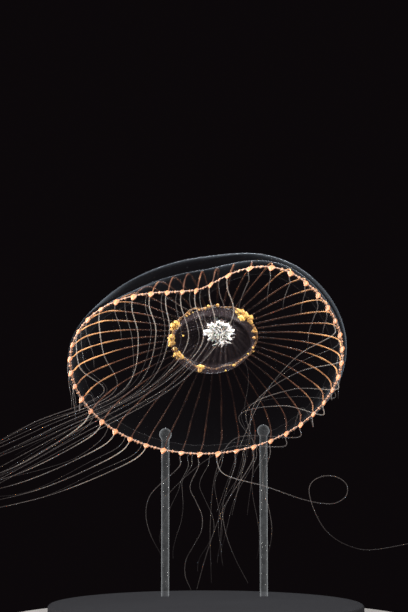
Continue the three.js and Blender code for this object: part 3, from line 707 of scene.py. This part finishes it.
# %% Ring canal and bulbs
STEPS_PER_BULB = 32
ring_spots = np.arange(CANALS * STEPS_PER_BULB) / STEPS_PER_BULB - 0.5
ring_at = spot_angle(ring_spots)
nearest = np.round(ring_spots)
from_large = ring_spots - nearest
size_draw = np.random.default_rng(41).uniform(0.66, 1.06, CANALS + 1)
large = np.clip(1 - abs(from_large) / 0.17, 0, 1) ** 0.85 * size_draw[nearest.astype(int) % CANALS]
small = np.exp(-((abs(from_large) - 0.5) / 0.045) ** 2)
tiny_sizes = np.random.default_rng(43).uniform(0.3, 1.0, 2 * CANALS + 4)
tiny_number = (2 * ring_spots + 2).astype(int) % (2 * CANALS)
tiny = np.exp(-((abs(from_large) - 0.31) / 0.035) ** 2) * tiny_sizes[tiny_number]
depth = 0.27 + 2.05 * large + 0.50 * small + 0.34 * tiny
half_width = 0.26 + 0.58 * large ** 0.8 + 0.30 * small + 0.20 * tiny
height_up = 0.25 + 0.22 * large + 0.18 * small + 0.10 * tiny
SECTION_SIDES = 16
around_section = np.arange(SECTION_SIDES) * 2 * math.pi / SECTION_SIDES
across_section = np.cos(around_section)
up_section = np.sin(around_section)
narrow = np.where(up_section < 0, 1 - 0.30 * abs(up_section) ** 1.5 * large[:, None], 1.0)
margin_inset = half_width[:, None] * across_section * narrow
margin_height = np.where(up_section > 0, height_up[:, None] * up_section, depth[:, None] * up_section)
margin_rows = margin_point(ring_at[:, None], margin_inset, margin_height)
bead = np.clip(0.12 + 0.95 * large ** 0.5 + 0.65 * small + 0.5 * tiny, 0, 1)
margin_tint = bead[:, None] * np.where(up_section < 0.5, 1.0, 0.75)
margin_nodes = [n for n in NODES if n.startswith("margin_")]
make("ring_canal_and_bulbs", grid(margin_rows, loop=True, tint=margin_tint), BULBS, margin_nodes)

# %% [markdown]
# The velum is a film that narrows the opening of the hollow. It is a closed thin shelf, rippled a
# little towards its free edge.

# %% Velum
VELUM_WIDTH = 3.2
VELUM_INSET = 0.95
VELUM_HALF_THICKNESS = 0.13
VELUM_RISE = 0.5
VELUM_FLUTTER = 0.3
velum_angles = np.arange(528) * 360.0 / 528
film = np.linspace(0, 1, 9)
flutter = ripple(velum_angles, 51, (30, 90), 1.0)


def film_point(share, side):
    """A ring of the film: rise x share + side x half the thickness + flutter that grows inwards."""
    return margin_point(velum_angles, VELUM_INSET + VELUM_WIDTH * share,
                        VELUM_RISE * share + side * VELUM_HALF_THICKNESS + VELUM_FLUTTER * share * flutter)


velum_rows = np.stack([film_point(f, 1) for f in film] + [film_point(f, -1) for f in film[::-1]], axis=1)
make("velum_film", grid(velum_rows, loop=True), VELUM, ["velum"])

# %% [markdown]
# ## The tentacles
# Tentacles are soft threads that the current carries, so each way is a smooth curve through a few
# places. The curve through them is the centripetal kind, which never overshoots into a cusp. The
# places are told as across, away and up in the room, from the bell's centre, and several rules
# cover the whole set: a front stream swept to the left, a level fan at the lower left, a group
# that crosses on the right, a trailing group under the bell, and short hooks in between.


# %% Curves
def vary(index, seed):
    """A repeatable number from -1 to 1: the fraction of a large sine."""
    value = math.sin(index * 12.9898 + seed * 78.233) * 43758.5453
    return 2 * (value - math.floor(value)) - 1


def smooth_way(places, step):
    """A centripetal Catmull-Rom curve through the places, resampled at even steps of length."""
    p = np.asarray(places, float)
    p = np.vstack([2 * p[0] - p[1], p, 2 * p[-1] - p[-2]])
    knot = np.sqrt(np.linalg.norm(np.diff(p, axis=0), axis=1))
    d0, d1, d2 = knot[:-2, None], knot[1:-1, None], knot[2:, None]
    p0, p1, p2, p3 = p[:-3], p[1:-2], p[2:-1], p[3:]
    m1 = d1 * ((p1 - p0) / d0 - (p2 - p0) / (d0 + d1) + (p2 - p1) / d1)
    m2 = d1 * ((p2 - p1) / d1 - (p3 - p1) / (d1 + d2) + (p3 - p2) / d2)
    t = np.linspace(0, 1, 80, endpoint=False)[None, :, None]
    p1, p2, m1, m2 = (x[:, None] for x in (p1, p2, m1, m2))
    curve = p1 + m1 * t + (3 * (p2 - p1) - 2 * m1 - m2) * t ** 2 + (2 * (p1 - p2) + m1 + m2) * t ** 3
    curve = np.vstack([curve.reshape(-1, 3), p2[-1]])
    walked = np.concatenate([[0], np.cumsum(np.linalg.norm(np.diff(curve, axis=0), axis=1))])
    even = np.linspace(0, walked[-1], max(8, int(walked[-1] / step)))
    return np.stack([np.interp(even, walked, curve[:, k]) for k in range(3)], axis=1)


def at(across, away, up):
    """A place in the room, from the bell's centre."""
    return np.array([across, away, up], float)


BULB_DEPTH = 2.4
MOUTHWARD = in_room([0, 0, -1])


def bulb_tip(spot):
    """The point of a bulb."""
    return in_room(margin_point(spot_angle(spot), 0.0, -BULB_DEPTH))


def stream(t):
    """The path the front tentacles are swept along: a curve bent by one middle point."""
    return (1 - t) ** 2 * at(-3, -33, -1) + 2 * t * (1 - t) * at(-34, -21, -20) + t ** 2 * at(-94, -6, -49)


print("the stream runs from", stream(0.0), "to", stream(1.0))

# %% Ways of the long tentacles
FRONT = [9, 10, 11, 12, 13, 14, 15, 17, 19]
LEFT = [25, 26, 27, 28, 29]
RIGHT = [2, 0, 42, 40]
LOOPED = 33
TRAILING = {
    31: (at(-17, 25, -72), at(-9, -2, 0), 1),
    32: (at(-5.5, 20, -85), at(-3, 1, 0), 3),
    34: (at(16, 27, -83), at(-7, 3, 0), 1),
    35: (at(-3.5, 23, -85), at(-2.5, -4, 0), 1),
    36: (at(22.5, 29, -75), at(-2, 3, 0), 2),
    37: (at(-16, 17, -51), at(-2, -5, 6), 1),
    38: (at(2, 18, -82), at(-12, -5, 20), 1),
}


def front_way(index, order):
    """Hangs from the upper margin, then joins the stream in a lane of its own."""
    tip, joins = bulb_tip(index), 0.04 + 0.05 * order
    lane = at(0, 2 * ((2 * order) % 3 - 1), 1.5 * order - 4)
    hang = at(2 + vary(index, 2), -4 - 1.2 * (order % 3), -15 - 3 * vary(index, 3))
    return [tip + 5 * MOUTHWARD, tip + hang, stream(joins) + lane, stream((1 + joins) / 2) + 1.25 * lane,
            stream(1.0) + 1.5 * lane + at(9 * vary(index, 4), 0, 0)]


def left_way(index, order):
    """Leaves the lower left margin almost level."""
    tip = bulb_tip(index)
    end = at(-92 + 4 * vary(index, 5), 3 + 3 * order, -46 - 2.6 * order)
    away = end - tip
    return [tip + 2.5 * MOUTHWARD + 0.04 * away, tip + 0.2 * away + at(0, -4, -3.5),
            tip + 0.55 * away + at(0, -3, -4), end]


def right_way(index, order):
    """Crosses the hollow to a place where several meet, then drops below the margin."""
    tip = bulb_tip(index)
    meeting = at(21 - 3 * order, 2 - 2 * order, -13 - 2.5 * order)
    return [tip + 4 * MOUTHWARD, (tip + meeting) / 2 + at(0, -4, 2), meeting,
            at(13.5 + 2 * order, 6 - 2.5 * order, -29 - 1.5 * order),
            at(4 + 5.6 * order, 14 - 2.5 * order, -58 - 4 * vary(index, 8))]


def trail_way(index):
    """Straight from the bulb to its end, plus a sway that goes through whole half waves."""
    end, sway, waves = TRAILING[index]
    tip = bulb_tip(index)
    steps = 2 * waves + 3
    shares = np.linspace(2 / steps, 1, steps - 1)
    bends = [tip + s * (end - tip) + sway * math.sin(math.pi * waves * s) for s in shares]
    return [tip + 4 * MOUTHWARD] + bends


def looped_way():
    """The longest tentacle makes one open turn in the water on its way to the right."""
    centre, (across, up, deep, count) = at(45.6, 17.5, -47.5), (7.4, 5.3, 5, 8)
    turn = [centre + at(across * math.cos(a), -deep * i / (count - 1), up * math.sin(a))
            for i, a in enumerate(np.radians(np.linspace(-110, 190, count)))]
    before = [at(6.5, 28, -41.5), at(23, 22, -46.5), at(36, 19, -51)]
    after = [at(44.5, 11, -62.5), at(56.5, 10, -69), at(73, 5, -67), at(86, 0, -63)]
    return before + turn + after


def short_way(index):
    """A tentacle drawn up short: it hangs on the near side and arches over on the far side."""
    tip = bulb_tip(index)
    length = 12 + 4 * vary(index, 6)
    side = -np.sign(tip[0]) * (0.7 + 0.3 * vary(index, 7))
    far = [(0.15, -0.45, 0.05), (0.4, -0.5, 0.25), (0.62, -0.45, -0.05), (0.7, -0.4, -0.4)]
    near = [(0.1, -0.3, -0.45), (0.26, -0.45, -0.85), (0.3, -0.55, -1.2)]
    bends = far if tip[1] > 10 else near
    return [tip + 0.3 * length * MOUTHWARD] + [tip + length * at(side * x, y, z) for x, y, z in bends]


def way_of(index):
    """The rule that leads tentacle number `index`."""
    for rule, group in ((front_way, FRONT), (left_way, LEFT), (right_way, RIGHT)):
        if index in group:
            return rule(index, group.index(index))
    if index == LOOPED:
        return looped_way()
    return trail_way(index) if index in TRAILING else short_way(index)


def centre_line(index, step=0.7):
    """From inside the bulb, through its tip, along its way."""
    root = in_room(margin_point(spot_angle(index), 0.0, -0.8))
    return smooth_way([root, bulb_tip(index)] + way_of(index), step)


lines = [centre_line(index) for index in range(CANALS)]
print("tentacles:", len(lines), "longest", round(max(len(x) for x in lines) * 0.7), "mm")

# %% [markdown]
# A tentacle is thickest at its bulb and is ringed with batteries of stinging cells, which show as
# tiny beads. The tube's radius carries both: a taper, and a fine wave.


# %% Tentacle skins
def tentacle(path, thick, thin, seed, glow=1.0):
    """A tapering beaded thread, brighter where it is thick."""
    draw = np.random.default_rng(seed)
    share = np.linspace(0, 1, len(path))
    beads = 1 + 0.10 * np.sin(np.arange(len(path)) * 2.1 + draw.uniform(0, 6))
    radius = (thin + (thick - thin) * (1 - share) ** 1.5) * beads
    radius[-3:] *= np.array([0.9, 0.7, 0.4])
    tint = np.clip(glow * (0.85 - 0.65 * share + 0.15 * np.sin(share * draw.uniform(8, 20))), 0, 1)
    return tube(path, radius, 6, tint)


GROWN_RADII = (0.19, 0.10)
YOUNG_RADII = (0.10, 0.06)
YOUNG_GLOW = 0.7
SHORT_GLOW = 0.6
GLOW_BY_GROUP = ((LEFT, 1.0), (FRONT, 0.8), (RIGHT, 0.8), ([LOOPED], 0.62), (list(TRAILING), 0.45))


def glow_of(index):
    """How bright the tentacle is: the level fan at the lower left most, the trailing ones least."""
    return next((glow for group, glow in GLOW_BY_GROUP if index in group), SHORT_GLOW)


skins = [tentacle(line, *GROWN_RADII, 200 + i, glow_of(i)) for i, line in enumerate(lines)]
tentacle_nodes = [n for n in NODES if n.startswith("tentacle_")]
skin = together(skins)
skin["points"] = skin["points"] + BELL_CENTRE
make("tentacles", skin, TENTACLE, tentacle_nodes, bell_axes=False)

# %% [markdown]
# Between the grown tentacles hang much finer young ones. Each is led between two neighbours: the
# mean of their two curves, with a slow drift of its own that starts from nothing at the root.

# %% Fine young tentacles
groups = [FRONT, LEFT, RIGHT, [31, 32, 34, 35, 36]]
fine_lines = []
for number, group in enumerate(groups):
    for order, (first, second) in enumerate(zip(group[:-1], group[1:])):
        for extra in range(2 if number == 3 else 1):
            draw = np.random.default_rng(500 + 31 * number + 7 * order + extra)
            share = np.linspace(0, 1, 150)[:, None]
            even = [np.stack([np.interp(share[:, 0], np.linspace(0, 1, len(lines[i])), lines[i][:, k])
                              for k in range(3)], axis=1) for i in (first, second)]
            weight = draw.uniform(0.2, 0.8)
            middle = weight * even[0] + (1 - weight) * even[1]
            swing = draw.uniform(-1, 1, 3) * np.array([2.0, 2.0, 1.6])
            drift = swing * np.sin(share * draw.uniform(4, 8) + draw.uniform(0, 1)) * np.minimum(1, 3 * share)
            root = in_room(margin_point(spot_angle(weight * first + (1 - weight) * second), 0.0, -0.6))
            path = middle + drift + (root - middle[0]) * (1 - share) ** 4
            keep = int(150 * draw.uniform(0.75, 1.0))
            fine_lines.append(path[:keep])
fine_skin = together([tentacle(line, *YOUNG_RADII, 700 + i, YOUNG_GLOW) for i, line in enumerate(fine_lines)])
fine_skin["points"] = fine_skin["points"] + BELL_CENTRE
make("young_tentacles", fine_skin, THREAD, [], bell_axes=False)

# %% [markdown]
# ## The stand
# In the water nothing holds the animal up. In the museum two clear rods do, on a heavy black disc.
# Both are turned shapes: a profile of radius and height carried round an upright line. The rods
# end in small balls that meet the jelly from outside.

# %% Stand sizes and turning
BASE_RADIUS = 58.0
BASE_HEIGHT = 6.0
ROD_RADIUS = 1.5
BALL_RADIUS = 2.4
ROD_ANGLE = 22.0
ROD_REACH = 0.22
ROD_SOCKET = 4.0


def turned(profile, middle, sides):
    """Radius x cos, radius x sin, height for each profile point, about a line through `middle`."""
    profile = np.asarray(profile, float)
    turn = np.arange(sides) * 2 * math.pi / sides
    rows = np.stack([profile[:, :1] * np.cos(turn), profile[:, :1] * np.sin(turn),
                     np.repeat(profile[:, 1:], sides, axis=1)], axis=-1)
    ends = (np.array([0, 0, profile[0, 1]]), np.array([0, 0, profile[-1, 1]]))
    part = grid(rows, poles=ends)
    part["points"] = part["points"] + np.array([middle[0], middle[1], 0.0])
    return part


def rounded_corner(radius, height, size, start):
    """A quarter circle of the given size round a corner, in five steps."""
    a = np.radians(np.linspace(start, start + 90, 6))
    return [(radius + size * math.cos(x), height + size * math.sin(x)) for x in a]


# %% Stand finishes
def base_finish():
    """Black satin acrylic: a soft grain and a little dust."""
    material, tree, output = new_material("satin_black")
    grain = noise(tree, 2600.0, 2.0)
    dust = ramp(tree, noise(tree, 5200.0, 1.0), [(0.0, (0.006, 0.006, 0.007)), (0.68, (0.007, 0.007, 0.008)),
                                                 (0.80, (0.03, 0.03, 0.031))])
    rough = maths(tree, "ADD", maths(tree, "MULTIPLY", noise(tree, 30.0, 4.0), 0.2), 0.55)
    body = add(tree, "ShaderNodeBsdfPrincipled", {"Base Color": dust, "Roughness": rough, "IOR": 1.05,
                                                  "Normal": bump(tree, grain, 0.15, 0.0001)})
    tree.links.new(body.outputs[0], output.inputs["Surface"])
    return material


def rod_finish():
    """Polished clear acrylic: nearly nothing seen face-on, a bright edge seen at a slant."""
    material, tree, output = new_material("clear_acrylic")
    slant = add(tree, "ShaderNodeLayerWeight", {"Blend": 0.5}).outputs["Facing"]
    haze = maths(tree, "ADD", maths(tree, "MULTIPLY", maths(tree, "POWER", slant, 3.0), 0.22),
                 maths(tree, "MULTIPLY", noise(tree, 400.0, 3.0), 0.03), clamp=True)
    body = add(tree, "ShaderNodeBsdfPrincipled", {
        "Base Color": (0.55, 0.60, 0.64, 1), "Roughness": 0.06, "IOR": 1.49,
        "Normal": bump(tree, noise(tree, 900.0, 2.0), 0.05, 0.0001)})
    clear_mix(tree, output, haze, body.outputs[0])
    return material


BLACK = base_finish()
ACRYLIC = rod_finish()
print("stand finishes:", BLACK.name, ACRYLIC.name)

# %% Stand pieces
rod_feet = {}
for name, side in (("left", 1), ("right", -1)):
    ball = in_room(outer_point(90 + side * ROD_ANGLE, ROD_REACH, BALL_RADIUS + GAP)) + BELL_CENTRE
    neck = math.asin(ROD_RADIUS / BALL_RADIUS)
    arc = [(BALL_RADIUS * math.sin(a), ball[2] - BALL_RADIUS * math.cos(a))
           for a in np.linspace(neck, 3.05, 22)]
    foot = BASE_HEIGHT - ROD_SOCKET + GAP
    profile = [(0.7 * ROD_RADIUS, foot), (ROD_RADIUS, foot + 0.25), (ROD_RADIUS, 0.5 * ball[2])] + arc
    make(f"rod_{name}", turned(profile, ball, 40), ACRYLIC, [f"stand_rod_{name}"], bell_axes=False)
    rod_feet[name] = ball[:2]
disc = ([(BASE_RADIUS * s, 0.0) for s in (0.3, 0.6, 0.9)]
        + rounded_corner(BASE_RADIUS - 1, 1, 1, -90) + rounded_corner(BASE_RADIUS - 1, BASE_HEIGHT - 1, 1, 0)
        + [(BASE_RADIUS * s, BASE_HEIGHT) for s in (0.9, 0.6, 0.3)])
make("base_disc", turned(disc, (0, 0), 128), BLACK, ["stand_base"], bell_axes=False)
print("rods stand at", {k: np.round(v, 1).tolist() for k, v in rod_feet.items()})

# %% [markdown]
# ## Floor, light and camera
# A plain pale floor carries the stand. The room beyond it is left dark, because clear jelly only
# shows against the dark. Large soft lights from above, from both sides and from behind make the
# canals and the edge of the jelly glow.

# %% Floor
FLOOR_RADIUS = 78.0
floor_mesh = bpy.data.meshes.new("floor")
floor_turn = np.arange(96) * 2 * math.pi / 96
floor_points = FLOOR_RADIUS * np.stack([np.cos(floor_turn), np.sin(floor_turn), np.zeros(96)], axis=1)
floor_mesh.from_pydata((floor_points * MM).tolist(), [], [list(range(96))])
floor_material, floor_tree, floor_output = new_material("pale_floor")
floor_shade = ramp(floor_tree, noise(floor_tree, 60.0, 3.0),
                   [(0.0, (0.088, 0.086, 0.084)), (1.0, (0.108, 0.105, 0.102))])
floor_body = add(floor_tree, "ShaderNodeBsdfPrincipled",
                 {"Base Color": floor_shade, "Roughness": 0.85, "IOR": 1.1})
floor_tree.links.new(floor_body.outputs[0], floor_output.inputs["Surface"])
floor_mesh.materials.append(floor_material)
floor = bpy.data.objects.new("floor", floor_mesh)
bpy.context.collection.objects.link(floor)
print("floor radius", FLOOR_RADIUS, "mm")


# %% Lights
def soft_light(name, place, size, watts, colour=(1, 1, 1)):
    """A square area light that faces the middle of the bell."""
    light = bpy.data.lights.new(name, "AREA")
    light.size = size
    light.energy = watts
    light.color = colour
    lamp = bpy.data.objects.new(name, light)
    lamp.location = place
    aim = np.array([0.0, -0.01, 0.09]) - np.array(place)
    tilt = math.atan2(math.hypot(aim[0], aim[1]), -aim[2])
    lamp.rotation_euler = (tilt, 0, math.atan2(aim[0], -aim[1]) + math.pi)
    bpy.context.collection.objects.link(lamp)
    return lamp


soft_light("key_from_upper_left", (-0.30, -0.38, 0.50), 0.25, 15.0, (1.0, 0.97, 0.94))
soft_light("fill_from_right", (0.48, -0.25, 0.22), 0.30, 10.0, (1.0, 0.95, 0.90))
soft_light("side_from_left", (-0.50, 0.02, 0.16), 0.25, 9.0, (1.0, 0.96, 0.92))
soft_light("crown_from_behind", (0.05, 0.42, 0.42), 0.30, 2.8, (0.88, 0.93, 1.0))
world = bpy.data.worlds.new("dark_room")
world.use_nodes = True
world.node_tree.nodes["Background"].inputs["Color"].default_value = (0.0035, 0.0025, 0.0030, 1)
bpy.context.scene.world = world
bpy.context.scene.view_settings.view_transform = "Standard"
print("lights:", len(bpy.data.lights))

# %% Camera
CAMERA_PITCH = 5.0
camera_data = bpy.data.cameras.new("camera")
camera_data.sensor_fit = "VERTICAL"
camera_data.sensor_height = 36.0
camera_data.lens = 96.35
camera_data.clip_start = 0.01
camera = bpy.data.objects.new("camera", camera_data)
camera.location = (-0.00073, -0.60946, 0.06259)
camera.rotation_euler = (math.radians(90 + CAMERA_PITCH), 0, 0)
bpy.context.collection.objects.link(camera)
bpy.context.scene.camera = camera
print("camera lens", camera_data.lens)
